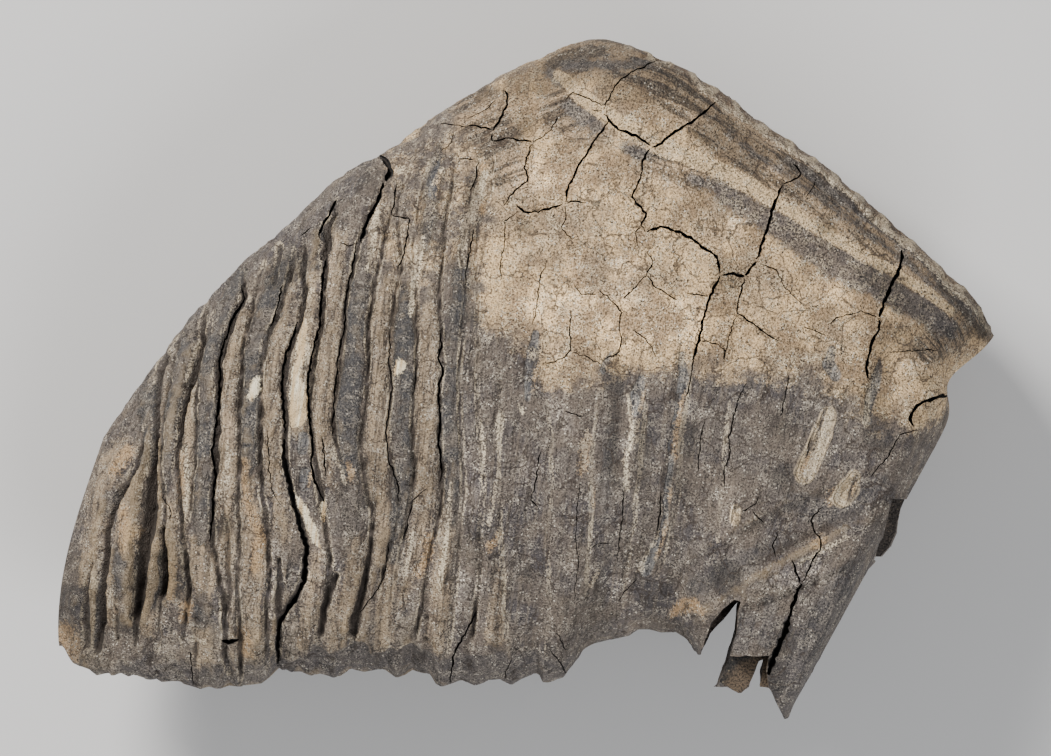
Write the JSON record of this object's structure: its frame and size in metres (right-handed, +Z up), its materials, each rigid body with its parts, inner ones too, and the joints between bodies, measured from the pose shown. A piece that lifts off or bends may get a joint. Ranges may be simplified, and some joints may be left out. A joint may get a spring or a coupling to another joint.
{
  "type": "fossil mammoth tooth",
  "caption": "Fossil molar of a mammoth lying on its side: upright enamel plates, a sloping chewing surface, cracks and a broken hollow front root.",
  "frame": {"origin": "centre of the tooth's outline, on the plane it rests on", "axes": "+X from the unworn back end to the worn front end, +Y from the root to the crown, +Z up out of the free side"},
  "size_m": [0.2338, 0.1699, 0.0804],
  "materials": {
    "fossil_tooth": "matt, dry fossil cement and enamel"
  },
  "bodies": {
    "root": {"mammoth_tooth": "fossil_tooth"}
  },
  "joints": []
}
